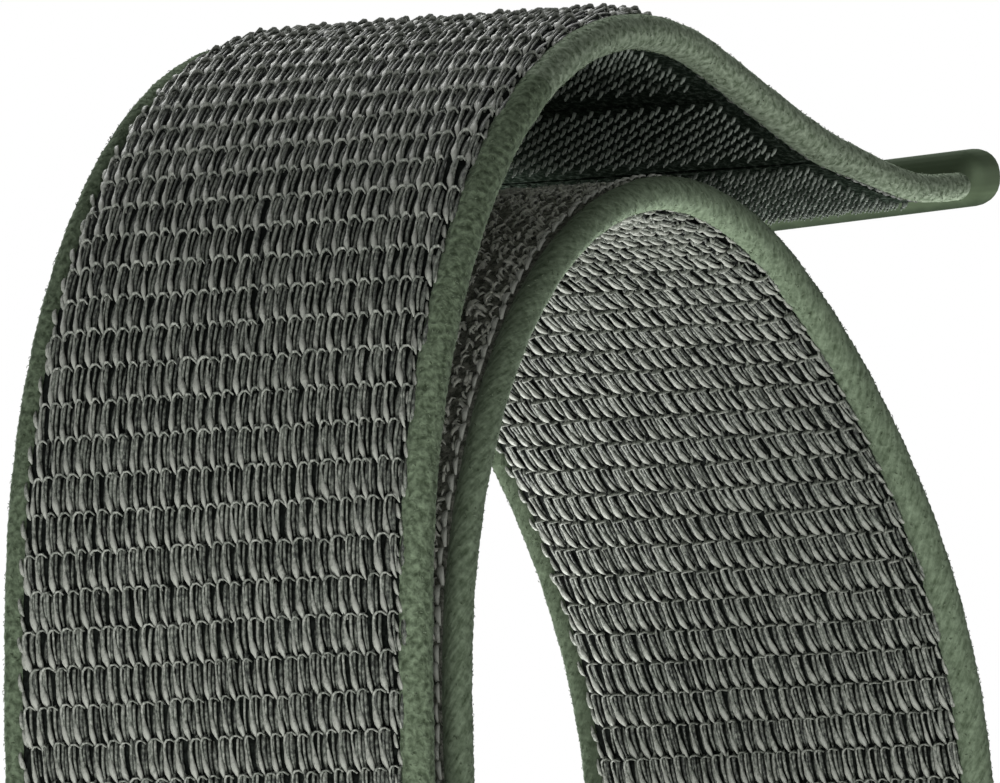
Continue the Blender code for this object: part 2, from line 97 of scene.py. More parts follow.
softbox("low_left_softbox", (-0.74, -0.1, -0.67), 0.5, 0.3, 2.1)
softbox("back_top_softbox", (0.45, 0.5, 0.74), 0.6, 0.4, 2.9)
softbox("below_softbox", (0.3, 0.35, -0.88), 0.5, 0.3, 5.2)
softbox("low_near_softbox", (-0.3, -0.5, -0.8), 0.55, 0.3, 0.55)


def linear(hex_colour):
    """An sRGB hex value as linear red, green, blue and alpha."""
    parts = [int(hex_colour[index:index + 2], 16) / 255 for index in (1, 3, 5)]
    return (*[part / 12.92 if part <= 0.04045 else ((part + 0.055) / 1.055) ** 2.4
              for part in parts], 1.0)


def add_node(tree, kind, settings=None, links=None):
    """One shader node: settings by attribute, socket name or number, links by socket."""
    made = tree.nodes.new("ShaderNode" + kind)
    for name, value in (settings or {}).items():
        if isinstance(name, int) or name in made.inputs:
            made.inputs[name].default_value = value
        else:
            setattr(made, name, value)
    for name, source in (links or {}).items():
        tree.links.new(source, made.inputs[name])
    return made


room = bpy.data.worlds.new("white_room")
bpy.context.scene.world = room
room.use_nodes = True
sky = room.node_tree
sky.nodes.clear()
path = add_node(sky, "LightPath")
seen = add_node(sky, "Math", {"operation": "MAXIMUM"},
                {0: path.outputs["Is Camera Ray"], 1: path.outputs["Is Glossy Ray"]})
shown = add_node(sky, "Math", {"operation": "MAXIMUM"},
                 {0: seen.outputs[0], 1: path.outputs["Is Transmission Ray"]})
fill = add_node(sky, "Background", {"Color": (1.0, 1.0, 1.0, 1.0), "Strength": 0.2})
white = add_node(sky, "Background", {"Color": (1.0, 1.0, 1.0, 1.0), "Strength": 1.0})
either = add_node(sky, "MixShader", {},
                  {0: shown.outputs[0], 1: fill.outputs[0], 2: white.outputs[0]})
add_node(sky, "OutputWorld", {}, {"Surface": either.outputs[0]})


def new_material(name, settings):
    """A material and its surface shader, with the settings of that surface by socket name."""
    material = bpy.data.materials.new(name)
    material.use_nodes = True
    surface = material.node_tree.nodes["Principled BSDF"]
    for socket, value in settings.items():
        surface.inputs[socket].default_value = value
    return material, surface


# Floor: a plain pale disc, small enough to stay below the photograph's lower edge. It is stage
# and no part of the strap.

bpy.ops.object.select_all(action="DESELECT")
bpy.ops.mesh.primitive_circle_add(vertices=96, radius=0.24, fill_type="NGON")
floor = bpy.context.object
floor.name = "pale_floor"
floor_paint, surface = new_material("matt_pale_paint", {"Base Color": linear("#e9e9e7"),
                                                        "Roughness": 0.9})
floor.data.materials.append(floor_paint)
floor.visible_shadow = False


# Base cloth of the strip: a flat black-green nylon ground that the grey strands are woven into.
# It is made flat, as on the loom, and then laid along the way the strap runs.

BAND_HALF_WIDTH = 12.0 * MM
GROUND_HALF_WIDTH = 11.1 * MM
GROUND_TOP = 0.45 * MM
GROUND_CELL = 0.5 * MM
FACE_MARGIN = 0.2 * MM
FOLD_RADIUS = 2.45 * MM
LEFT_BAR = (-23.06 * MM, 4.5 * MM)
RIGHT_BAR = (25.94 * MM, 4.5 * MM)
LEG_HEADING = radians(143)
SAMPLE = 0.05 * MM


def lay_way(start, heading, bends):
    """Samples (distance, x, z, heading) along straights (length, 0) and bends (radius, degrees).

    A positive turn is clockwise."""
    rows = [(0.0, start[0], start[1], heading)]
    for size, degrees in bends:
        turn = radians(degrees)
        length = size * abs(turn) if turn else size
        along, x, z, begun = rows[-1]
        side = 1 if turn > 0 else -1
        count = max(1, round(length / SAMPLE))
        for index in range(1, count + 1):
            gone = length * index / count
            if turn:
                now = begun - side * gone / size
                here = (x + side * size * (sin(begun) - sin(now)),
                        z - side * size * (cos(begun) - cos(now)))
            else:
                now = begun
                here = (x + gone * cos(begun), z + gone * sin(begun))
            rows.append((along + gone, here[0], here[1], now))
    return rows


def closing_bend(row):
    """The one bend (radius, degrees) from a sample of the way round to the right lug bar."""
    _, x, z, heading = row
    inward = (sin(heading), -cos(heading))
    away = (x - RIGHT_BAR[0], z - RIGHT_BAR[1])
    reach = away[0] ** 2 + away[1] ** 2 - FOLD_RADIUS ** 2
    radius = reach / (2 * (FOLD_RADIUS - inward[0] * away[0] - inward[1] * away[1]))
    centre = (x + radius * inward[0], z + radius * inward[1])
    last = atan2(RIGHT_BAR[1] - centre[1], RIGHT_BAR[0] - centre[0]) - pi / 2
    return radius, (heading - last) * 180 / pi


# The way of the outer layer: up beside the left leg, over its crest and down the tail
TAB_OVERHANG = 5.1 * MM
outer_start = (LEFT_BAR[0] - FOLD_RADIUS * sin(LEG_HEADING),
               LEFT_BAR[1] + FOLD_RADIUS * cos(LEG_HEADING))
outer_way = lay_way(outer_start, LEG_HEADING,
                    [(26.4 * MM, 48), (94.9 * MM, 7.5), (34 * MM, 34), (30 * MM, 18.5),
                     (27 * MM, 47), (12 * MM, 0), (50 * MM, -14), (36 * MM, -8), (8 * MM, 0)])
TAIL_END = outer_way[-1][0] - TAB_OVERHANG

# The way of the wrist loop: round the left bar, up and over, and round the right bar
CROWN_RADIUS = 28 * MM
up_the_leg = [(21.5 * MM, 48), (90 * MM, 4), (27 * MM, 51)]
wrist_bends = [(FOLD_RADIUS, -180), *up_the_leg, (CROWN_RADIUS, 63),
               (56 * MM, 18), (34 * MM, 16), (24 * MM, 20)]
wrist_way = lay_way(outer_start, LEG_HEADING - pi, wrist_bends)
wrist_bends += [closing_bend(wrist_way[-1])]
RIGHT_LUG = lay_way(outer_start, LEG_HEADING - pi, wrist_bends)[-1][0]
CROWN = FOLD_RADIUS * pi + sum(radius * radians(degrees) for radius, degrees in up_the_leg)
CROWN += CROWN_RADIUS * (LEG_HEADING - radians(sum(degrees for _, degrees in up_the_leg)))
wrist_way = lay_way(outer_start, LEG_HEADING - pi, wrist_bends + [(FOLD_RADIUS, -180)])

# It goes on back up the outside of the right leg as the return, which closes in on the leg
RETURN_START = wrist_way[-1][0]
RETURN_LENGTH = 15 * MM
STRIP_END = RETURN_START + RETURN_LENGTH
RETURN_SPACING = 2.2 * MM
CLOSING_LENGTH = 10 * MM
loop_table = np.array(wrist_way)
back_track = np.arange(SAMPLE, RETURN_LENGTH + SAMPLE, SAMPLE)
share = np.clip(back_track / CLOSING_LENGTH, 0, 1)
spacing = 2 * FOLD_RADIUS + (RETURN_SPACING - 2 * FOLD_RADIUS) * share * share * (3 - 2 * share)
leg_x, leg_z, leg_heading = (np.interp(RIGHT_LUG - back_track, loop_table[:, 0],
                                       loop_table[:, column]) for column in (1, 2, 3))
return_x = leg_x - spacing * np.sin(leg_heading)
return_z = leg_z + spacing * np.cos(leg_heading)
return_heading = np.unwrap(np.arctan2(np.gradient(return_z), np.gradient(return_x)))
return_heading += 2 * pi * round((wrist_way[-1][3] - return_heading[0]) / (2 * pi))
wrist_way = np.vstack([loop_table, np.column_stack([RETURN_START + back_track, return_x, return_z,
                                                    return_heading])])

# Worn in, the wrist loop stands a little proud of its bends, and the tail's foot a little high
proud = np.interp(wrist_way[:, 0] / MM, [8, 20, 60, 72, 80, 90, 105],
                  [0, 0.45, 0.45, 0.42, 0.25, 0.15, 0]) * MM
wrist_way[:, 1] -= proud * np.sin(wrist_way[:, 3])
wrist_way[:, 2] += proud * np.cos(wrist_way[:, 3])
outer_way = np.array(outer_way)
outer_way[:, 2] += 0.36 * MM * np.exp(-((outer_way[:, 0] / MM - 106) / 5.5) ** 2)

# Places along the ways: where the tail peels off, where its hooks start, its two flex strips, and
# where one stretch of the strip ends and the next starts
PEEL, HOOKS_START, FIRST_FLEX, SECOND_FLEX = 37 * MM, 79.5 * MM, 90 * MM, 101 * MM
SPLIT_LEG, SPLIT_CROWN, SPLIT_CREST, SPLIT_FLEX = 50 * MM, CROWN + 6 * MM, 64.55 * MM, 95.5 * MM
TAIL_TWIST = 1.3 * MM


def point_on(way, along):
    """A place in the part on one way."""
    x, z = (float(np.interp(along, way[:, 0], way[:, column])) for column in (1, 2))
    return (x, 0.0, z)


def vertex_places(mesh):
    """The places of a mesh's vertices, a row for each."""
    places = np.empty(len(mesh.vertices) * 3)
    mesh.vertices.foreach_get("co", places)
    return places.reshape(-1, 3)


def corner_vertices(mesh):
    """The number of the vertex at each corner of a mesh's faces."""
    corners = np.empty(len(mesh.loops), dtype=np.int32)
    mesh.loops.foreach_get("vertex_index", corners)
    return corners


def lay_on(piece, way, twist):
    """Move a flat piece, made along X with its face up, to its place on a way.

    With twist, its far edge sinks towards the tail's end."""
    along, across, height = vertex_places(piece.data).T
    x, z, heading = (np.interp(along, way[:, 0], way[:, column]) for column in (1, 2, 3))
    laid = np.column_stack([x - height * np.sin(heading), across, z + height * np.cos(heading)])
    if twist:
        gone = np.clip((along - SECOND_FLEX) / (TAIL_END - SECOND_FLEX), 0, 1)
        laid[:, 2] -= TAIL_TWIST * gone * (across + BAND_HALF_WIDTH) / (2 * BAND_HALF_WIDTH)
    piece.data.vertices.foreach_set("co", laid.ravel())
    piece.data.update()


def flat_map(mesh, flat):
    """Keep each vertex's flat place, in millimetres, as the UV map that the patterns follow."""
    layer = mesh.uv_layers.new(name="flat")
    layer.data.foreach_set("uv", flat[corner_vertices(mesh)].ravel())


def fit(piece, way, crossing, nodes, twist=False):
    """Lay a finished flat piece on its way; attach it to its body, or bake it if it crosses a joint.
    """
    lay_on(piece, way, twist)
    if isinstance(crossing, str):
        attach(piece, crossing)
    else:
        before, after, joint, ease = crossing
        point_on(way, joint - ease)
        point_on(way, joint + ease)
        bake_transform(piece)
    if nodes:
        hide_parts(*nodes)


def sheet(name, start, end, half_width, cell, cells_across, thick, middle=0.0):
    """A flat sheet from start to end along X, with its flat map."""
    bpy.ops.object.select_all(action="DESELECT")
    bpy.ops.mesh.primitive_grid_add(x_subdivisions=round((end - start) / cell),
                                    y_subdivisions=cells_across, size=1.0)
    flat = bpy.context.object
    flat.name = name
    flat.data.name = name
    flat.scale = (end - start, 2 * half_width, 1.0)
    flat.location = ((start + end) / 2, 0.0, middle)
    bpy.ops.object.transform_apply()
    thickness = flat.modifiers.new("thickness", "SOLIDIFY")
    thickness.thickness = thick
    thickness.offset = 0.0
    bpy.ops.object.modifier_apply(modifier=thickness.name)
    flat_map(flat.data, vertex_places(flat.data)[:, :2] / MM)
    return flat


BELLY = 0.65 * MM
BELLY_NEAR_EDGE, BELLY_NEAR_SLOPE = -10.7 * MM, 1.2 * MM
BELLY_FAR_EDGE, BELLY_FAR_SLOPE = 11.1 * MM, 2.4 * MM


def belly(across, along, way):
    """How far the woven face stands up between the rims: less at the lugs, nothing at the tab."""
    near = np.clip((across - BELLY_NEAR_EDGE) / BELLY_NEAR_SLOPE, 0, 1)
    far = np.clip((BELLY_FAR_EDGE - across) / BELLY_FAR_SLOPE, 0, 1)
    if way is outer_way:
        ends = np.interp(along / MM, [0, 6, 94, 106], [0.3, 1, 1, 0])
    else:
        lug = RIGHT_LUG / MM
        ends = np.interp(along / MM, [7, 16, lug - 12, lug], [0.3, 1, 1, 0.2])
    return BELLY * np.sin(near * pi / 2) * np.sin(far * pi / 2) * ends


def colour_by(surface, value, stops):
    """Colour a surface from a value, through a ramp of stops (position, sRGB hex)."""
    tree = surface.id_data
    tone = add_node(tree, "ValToRGB", {}, {"Fac": value})
    elements = tone.color_ramp.elements
    for index, (position, colour) in ((0, stops[0]), (1, stops[-1])):
        elements[index].position = position
        elements[index].color = linear(colour)
    for position, colour in stops[1:-1]:
        elements.new(position).color = linear(colour)
    tree.links.new(tone.outputs["Color"], surface.inputs["Base Color"])


def relief_by(surface, value, strength, depth):
    """Raise a surface's relief where a value is high."""
    relief = add_node(surface.id_data, "Bump", {"Strength": strength, "Distance": depth},
                      {"Height": value})
    surface.id_data.links.new(relief.outputs["Normal"], surface.inputs["Normal"])


def ground_cloth(name, settings, noise, stops, strength, depth):
    """Ground material whose colour and relief both follow one fine noise on the flat map."""
    cloth, surface = new_material(name, settings)
    where = add_node(cloth.node_tree, "UVMap", {"uv_map": "flat"})
    fine = add_node(cloth.node_tree, "TexNoise", noise, {"Vector": where.outputs["UV"]})
    colour_by(surface, fine.outputs["Fac"], stops)
    relief_by(surface, fine.outputs["Fac"], strength, depth)
    return cloth


# Solution-dyed nylon ground, woven tight: near black with a breath of green, and only a little
# light on its finest threads
ground_nylon = ground_cloth(
    "woven_nylon_ground", {"Roughness": 0.9, "Specular IOR Level": 0.08},
    {"Scale": 3.2, "Detail": 4.0, "Roughness": 0.7}, [(0.45, "#070a08"), (0.75, "#262b27")],
    0.6, 0.1 * MM)

# The same ground where it carries the loop pile: brown-grey and woolly, dark between the curls,
# and painted paler, a painted light for the shaded gap where it shows
pile_ground = ground_cloth(
    "brushed_nylon_pile_ground", {"Roughness": 0.95, "Specular IOR Level": 0.08},
    {"Scale": 2.4, "Detail": 5.0, "Roughness": 0.75}, [(0.42, "#474a42"), (0.68, "#a6a89c")],
    0.8, 0.12 * MM)

# The ground under the hooks, bonded and pressed flat: near black, flecked where fibres shine
pressed_nylon = ground_cloth(
    "pressed_nylon_ground", {"Roughness": 0.9, "Specular IOR Level": 0.0},
    {"Scale": 2.8, "Detail": 4.0, "Roughness": 0.7}, [(0.48, "#1a221b"), (0.72, "#566057")],
    0.5, 0.08 * MM)

over_crown = ("strap_left", "strap_right", CROWN, 4 * MM)
at_peel = ("strap_left", "tail_root", PEEL, 4 * MM)
at_first_flex = ("tail_root", "tail_middle", FIRST_FLEX, 4 * MM)
at_second_flex = ("tail_middle", "tail_end", SECOND_FLEX, 4 * MM)

# Each stretch of the strip: name, way, start, end, the body it goes with or the joint it crosses,
# twist
stretches = [("wrist_leg", wrist_way, 0.0, SPLIT_LEG, "strap_left", False),
             ("wrist_crown", wrist_way, SPLIT_LEG, SPLIT_CROWN, over_crown, False),
             ("wrist_right", wrist_way, SPLIT_CROWN, STRIP_END, "strap_right", False),
             ("outer", outer_way, 0.0, SPLIT_CREST, at_peel, False),
             ("tail_slope", outer_way, SPLIT_CREST, SPLIT_FLEX, at_first_flex, False),
             ("tail_tip", outer_way, SPLIT_FLEX, TAIL_END, at_second_flex, True)]
ground_nodes = {"wrist_leg": ("wrist_band_left", "lug_fold_left"), "wrist_crown": (),
                "wrist_right": ("wrist_band_right", "lug_fold_right"),
                "outer": ("outer_band",), "tail_slope": ("tail_band_root", "tail_band_middle"),
                "tail_tip": ("tail_band_end",)}
for name, way, start, end, crossing, twist in stretches:
    cloth = sheet(f"ground_cloth_{name}", start, end, GROUND_HALF_WIDTH, GROUND_CELL, 24,
                  2 * GROUND_TOP)
    for material in (ground_nylon, pile_ground, pressed_nylon):
        cloth.data.materials.append(material)
    main = 1 if way is outer_way else -1
    points = vertex_places(cloth.data)
    raised = points[:, 2] * main > FACE_MARGIN
    points[raised, 2] += main * belly(points[raised, 1], points[raised, 0], way)
    cloth.data.vertices.foreach_set("co", points.ravel())
    for polygon in cloth.data.polygons:
        if polygon.center.z * main <= -FACE_MARGIN:
            hooked = way is outer_way and polygon.center.x > HOOKS_START
            polygon.material_index = 2 if hooked else 1
    fit(cloth, way, crossing, ground_nodes[name], twist)


# Grey strands: flattened bundles of bright nylon filament that float over the ground in rows.
# Each rises thick from under the row before it, thins, and hooks over at the next row's line.

ROW_PITCH = 1.927 * MM
COLUMNS = 27
COLUMN_PITCH = 0.762 * MM
NEAR_COLUMN = -10.03 * MM
FIRST_ROW = 0.956 * MM
WEAVE_TIP_GAP = 6 * MM


def turn_faces_out():
    """Turn the faces of the piece being edited outwards, and stop editing it."""
    bpy.ops.mesh.select_all(action="SELECT")
    bpy.ops.mesh.normals_make_consistent(inside=False)
    bpy.ops.object.mode_set(mode="OBJECT")


def tapered_thread(name, sides, rows, along_unit=MM, across_unit=MM):
    """One thread drawn through its stations, each ring extruded, turned and resized.

    A station is how far along and across it is, in the units given, then the height of its middle,
    half its width and half its thickness in millimetres."""
    units = (along_unit, across_unit, MM, MM, MM)
    stations = [[value * unit for value, unit in zip(row, units)] for row in rows]
    bpy.ops.object.select_all(action="DESELECT")
    bpy.ops.mesh.primitive_circle_add(vertices=sides, radius=1.0, fill_type="NGON",
                                      rotation=(0.0, pi / 2, 0.0))
    thread = bpy.context.object
    thread.name = name
    bpy.ops.object.transform_apply(location=False, rotation=True, scale=False)
    bpy.ops.object.mode_set(mode="EDIT")
    points = [Vector(station[:3]) for station in stations]
    wide, thick = stations[0][3:]
    heading = 0.0
    bpy.ops.transform.resize(value=(1.0, wide, thick), center_override=(0.0, 0.0, 0.0))
    bpy.ops.transform.translate(value=points[0])
    for index in range(1, len(points)):
        bpy.ops.mesh.extrude_region_move(
            TRANSFORM_OT_translate={"value": points[index] - points[index - 1]})
        ahead = points[min(index + 1, len(points) - 1)] - points[index - 1]
        turn = atan2(ahead.y, ahead.x) - heading
        heading += turn
        bpy.ops.transform.rotate(value=-turn, orient_axis="Z", center_override=points[index])
        bpy.ops.transform.resize(value=(stations[index][3] / wide, stations[index][3] / wide,
                                        stations[index][4] / thick),
                                 center_override=points[index])
        wide, thick = stations[index][3:]
    turn_faces_out()
    return thread


def repeated(name, model, material, places, shades, along_tones=None):
    """One mesh of many copies of a model: places are (copies, 3, 4) matrices.

    Each copy has its own shade; along_tones (row shares, tones) varies it along the model."""
    mesh = model.data
    points = vertex_places(mesh)
    corners = corner_vertices(mesh)
    sizes = np.empty(len(mesh.polygons), dtype=np.int32)
    mesh.polygons.foreach_get("loop_total", sizes)
    places = np.array(places)
    count = len(places)
    moved = np.einsum("cij,vj->cvi", places[:, :, :3], points) + places[:, None, :, 3]
    all_corners = (corners[None, :] + len(points) * np.arange(count)[:, None]).ravel()
    all_sizes = np.tile(sizes, count)
    made = bpy.data.meshes.new(name)
    made.vertices.add(count * len(points))
    made.vertices.foreach_set("co", moved.ravel())
    made.loops.add(len(all_corners))
    made.loops.foreach_set("vertex_index", all_corners.astype(np.int32))
    made.polygons.add(len(all_sizes))
    made.polygons.foreach_set("loop_start",
                              np.concatenate([[0], np.cumsum(all_sizes)[:-1]]).astype(np.int32))
    made.update(calc_edges=True)
    made.validate()
    made.shade_smooth()
    shade = made.attributes.new("shade", "FLOAT", "POINT")
    tones = np.repeat(np.array(shades, dtype=float), len(points))
    if along_tones:
        tones += np.tile(np.interp(points[:, 0] / ROW_PITCH, *along_tones), count)
    shade.data.foreach_set("value", tones.astype(np.float32))
    made.materials.append(material)
    flat_map(made, vertex_places(made)[:, :2] / MM)
    piece = bpy.data.objects.new(name, made)
    bpy.context.scene.collection.objects.link(piece)
    return piece


def row_lines(start, end, towards_tail):
    """Numbered row lines between start and end, counted from the same loom line on both ways."""
    early = 0.3 * ROW_PITCH
    first = FIRST_ROW if towards_tail else -FIRST_ROW
    lines = first + ROW_PITCH * np.arange(-2, 100)
    return [(row, line) for row, line in enumerate(lines) if start - early <= line < end - early]


def placed(line, across, towards_tail, face, lean, width, size, height):
    """The 3 by 4 matrix that sets a model, made for the outer layer's outside, in its place."""
    forward = 1 if towards_tail else -1
    side = -forward * face
    foot = line if towards_tail else line + ROW_PITCH
    return [[forward, 0.0, 0.0, foot], [side * lean, side * width, 0.0, across],
            [0.0, 0.0, face * size, face * height]]


def thread_places(start, end, way, across_spread, slip):
    """The matrix of one thread of every strand on a stretch's woven face, each a bit different.

    across_spread lists where in its strand each copy of the thread lies, and slip is how far
    copies stray along the strip, in millimetres. A row is half a strand off the next, and every
    other row starts with one strand more, so the weave meets the near rim everywhere."""
    towards_tail = way is outer_way
    face = 1 if towards_tail else -1
    for row, line in row_lines(start, end, towards_tail):
        offset = 0.25 if row % 2 else -0.25
        for column in range(-1 if row % 2 else 0, COLUMNS):
            middle = NEAR_COLUMN + (column + 0.5 + offset) * COLUMN_PITCH
            height = GROUND_TOP + float(belly(middle, line, way))
            for beside in across_spread:
                across = middle - beside * MM + rng.normal(0.0, 0.03) * MM
                foot = line + rng.normal(0.0, slip) * MM
                yield placed(foot, across, towards_tail, face, rng.normal(-0.05, 0.035),
                             rng.normal(1.0, 0.15), rng.normal(1.0, 0.1), height)


edge_thread = tapered_thread(
    "edge_thread", 5,
    [(-0.10, 0.24, 0.00, 0.04, 0.05), (0.01, 0.19, 0.15, 0.10, 0.09),
     (0.13, 0.12, 0.22, 0.16, 0.11), (0.27, 0.04, 0.23, 0.16, 0.11),
     (0.40, -0.03, 0.20, 0.12, 0.09), (0.56, -0.09, 0.18, 0.08, 0.07),
     (0.76, -0.12, 0.22, 0.06, 0.07), (0.92, -0.02, 0.32, 0.065, 0.08),
     (1.00, 0.20, 0.38, 0.055, 0.14), (1.01, 0.46, 0.36, 0.05, 0.13),
     (0.93, 0.66, 0.16, 0.05, 0.09)], ROW_PITCH, COLUMN_PITCH)
body_thread = tapered_thread(
    "body_thread", 4,
    [(0.06, 0.24, 0.02, 0.05, 0.05), (0.24, 0.20, 0.10, 0.08, 0.07),
     (0.50, 0.14, 0.13, 0.09, 0.07), (0.80, 0.19, 0.19, 0.09, 0.08),
     (0.98, 0.27, 0.26, 0.08, 0.08), (1.05, 0.28, 0.10, 0.05, 0.05)], ROW_PITCH, COLUMN_PITCH)
lower_thread = tapered_thread(
    "lower_thread", 4,
    [(0.04, 0.60, -0.03, 0.07, 0.05), (0.28, 0.58, 0.04, 0.12, 0.06),
     (0.62, 0.56, 0.04, 0.12, 0.06), (0.97, 0.58, -0.03, 0.06, 0.05)], ROW_PITCH, COLUMN_PITCH)
# Along the edge thread: a painted highlight on the bulge at its foot, painted shade up its shaft and
# arch
EDGE_PAINTED_LIGHT_AND_SHADE = ([0.0, 0.12, 0.28, 0.45, 0.8, 0.95, 1.05],
                [0.5, 0.6, 0.4, 0.05, -0.2, -0.1, -0.1])
BODY_TONES = ([0.0, 0.3, 0.6, 1.0], [-0.1, 0.1, -0.05, 0.1])

# Bright multifilament nylon, dyed grey and drawn flat: satin, with streaks along the filaments
# and no two strands of quite the same grey
strand_nylon, surface = new_material("multifilament_nylon_strand",
                                     {"Roughness": 0.52, "Specular IOR Level": 0.4})
tree = strand_nylon.node_tree
where = add_node(tree, "UVMap", {"uv_map": "flat"})
along_threads = add_node(tree, "VectorMath",
                         {"operation": "MULTIPLY", 1: (4.2, 6.6, 1.0)},
                         {0: where.outputs["UV"]})
filaments = add_node(tree, "TexNoise", {"Scale": 1.0, "Detail": 3.0, "Roughness": 0.65},
                     {"Vector": along_threads.outputs[0]})
own = add_node(tree, "Attribute", {"attribute_name": "shade"})
own_part = add_node(tree, "Math", {"operation": "MULTIPLY_ADD", 1: 0.4, 2: -0.15},
                    {0: own.outputs["Fac"]})
both = add_node(tree, "Math", {"operation": "MULTIPLY_ADD", 1: 1.3},
                {0: filaments.outputs["Fac"], 2: own_part.outputs[0]})
colour_by(surface, both.outputs[0], [(0.42, "#1e221e"), (0.70, "#747970"), (0.98, "#a7aaa1")])
relief_by(surface, filaments.outputs["Fac"], 0.7, 0.08 * MM)

# Each kind of thread: name, model, where copies lie in the strand, slip, range of shades, tones.
# The edge thread's high range is partly painted light on each strand's raised edge.
thread_kinds = (("edge", edge_thread, (0.0,), 0.045, (0.55, 1.0), EDGE_PAINTED_LIGHT_AND_SHADE),
                ("body", body_thread, (-0.12, 0.11), 0.10, (-0.1, 0.65), BODY_TONES),
                ("lower", lower_thread, (0.0,), 0.045, (0.0, 0.45), BODY_TONES))
rng = np.random.default_rng(7)
for name, way, start, end, crossing, twist in stretches:
    last = min(end, TAIL_END - WEAVE_TIP_GAP) if way is outer_way else end
    for kind, model, spread, slip, tones, along_tones in thread_kinds:
        places, shades = [], []
        for place in thread_places(start, last, way, spread, slip):
            places.append(place)
            shades.append(rng.uniform(*tones))
        threads = repeated(f"{kind}_threads_{name}", model, strand_nylon, places, shades,
                           along_tones)
        fit(threads, way, crossing, (), twist)
for model in (edge_thread, body_thread, lower_thread):
    bpy.data.objects.remove(model)


# Loop pile: the back of the strip, where the hooks take hold, is a nap of small nylon curls
# pulled out of the weave. They stand in loose ridges over the columns.

CURLS_PER_SQUARE_MM = 5.2
PILE_WIDTH = 20.4
CURL_MARGIN = 0.05 * MM
RIDGE_SPREAD = 0.09 * MM
curl = tapered_thread("curl", 3, [(-0.27, -0.02, -0.05, 0.07, 0.07), (-0.13, 0.05, 0.14, 0.09, 0.07),
                                  (0.13, 0.05, 0.16, 0.09, 0.06), (0.27, -0.03, -0.05, 0.06, 0.06)])


def matrices(*rows):
    """The (copies, 3, 4) matrices of many copies, from three rows of four arrays or numbers."""
    count = max(np.size(cell) for row in rows for cell in row)
    return np.moveaxis([[np.broadcast_to(cell, count) for cell in row] for row in rows], 2, 0)


def shaded_nylon(name, low, high, settings):
    """Nylon whose copies run from the low colour to the high one with their own shades."""
    nylon, surface = new_material(name, settings)
    own = add_node(nylon.node_tree, "Attribute", {"attribute_name": "shade"})
    colour_by(surface, own.outputs["Fac"], [(0.0, low), (1.0, high)])
    return nylon


# Crimped nylon filament, brown-grey and dull, soft like felt, painted much paler as a painted light
# for the shaded gap where the pile shows
curl_nylon = shaded_nylon("crimped_nylon_pile", "#b3b6aa", "#e2e4d8",
                          {"Roughness": 0.85, "Specular IOR Level": 0.15, "Sheen Weight": 0.3})

for name, way, start, end, crossing, twist in stretches:
    stop = min(end, HOOKS_START) if way is outer_way else end
    if start > stop:
        continue
    back = -1 if way is outer_way else 1
    count = round((stop - start) / MM * PILE_WIDTH * CURLS_PER_SQUARE_MM)
    along = rng.uniform(start + CURL_MARGIN, stop - CURL_MARGIN, count)
    column = rng.integers(0, COLUMNS, count)
    across = NEAR_COLUMN + (column + 0.25) * COLUMN_PITCH + rng.normal(0.0, RIDGE_SPREAD, count)
    turn = rng.normal(0.0, 0.6, count)
    size = rng.normal(1.0, 0.2, count)
    flip = rng.choice([-1.0, 1.0], count)
    places = matrices((np.cos(turn) * size, -np.sin(turn) * size * flip, 0.0, along),
                      (np.sin(turn) * size, np.cos(turn) * size * flip, 0.0, across),
                      (0.0, 0.0, back * size, back * GROUND_TOP))
    pile = repeated(f"loop_pile_{name}", curl, curl_nylon, places, rng.uniform(0.0, 1.0, count))
    fit(pile, way, crossing, (), twist)
bpy.data.objects.remove(curl)


# Rims: a knitted sage-green tape rolled tight along both edges of the strip and felted by wear.
# Its ribs run round the outer layer's rims and slantwise on the wrist loop's.

SIDES = (("near", -1), ("far", 1))
RIM_RADIUS = 0.95 * MM
RIM_CENTRES = {-1: -BAND_HALF_WIDTH + RIM_RADIUS, 1: BAND_HALF_WIDTH - RIM_RADIUS + 0.1 * MM}
RIM_AROUND = 20
RIM_STEP = 0.15 * MM
RIM_TIP_GAP = 0.1 * MM
RIM_ROUNDING = 0.6 * MM
RIB_PITCH = 0.52 * MM
CHAIN_SINK = 0.28
THINNING, THINNING_LENGTH = 0.18, 7 * MM
WELD_DISTANCE = 0.001 * MM


def flank(around, side, way):
    """How far the rims sink where a border chain pulls them down: on the wrist loop's back, and
    along the far edge on the woven face."""
    sunk = 1.0
    if way is wrist_way:
        sunk = sunk - CHAIN_SINK * np.clip(np.cos(around - pi / 2 - side * pi / 4), 0, 1) ** 2
    if side > 0:
        face = 1 if way is outer_way else -1
        sunk = sunk - CHAIN_SINK * np.clip(np.cos(around - face * 3 * pi / 4), 0, 1) ** 2
    return sunk


def thinned(along):
    """How the rims get thinner past the second flex strip, towards the end tab."""
    return 1.0 - THINNING * np.clip((along - SECOND_FLEX) / THINNING_LENGTH, 0, 1)


def weld_and_cap(angle):
    """Weld the active piece's meeting edges, cap its open ends and smooth it up to an angle."""
    bpy.ops.object.mode_set(mode="EDIT")
    bpy.ops.mesh.select_all(action="SELECT")
    bpy.ops.mesh.remove_doubles(threshold=WELD_DISTANCE)
    bpy.ops.mesh.select_all(action="SELECT")
    bpy.ops.mesh.fill_holes(sides=0)
    turn_faces_out()
    bpy.ops.object.shade_smooth_by_angle(angle=radians(angle))


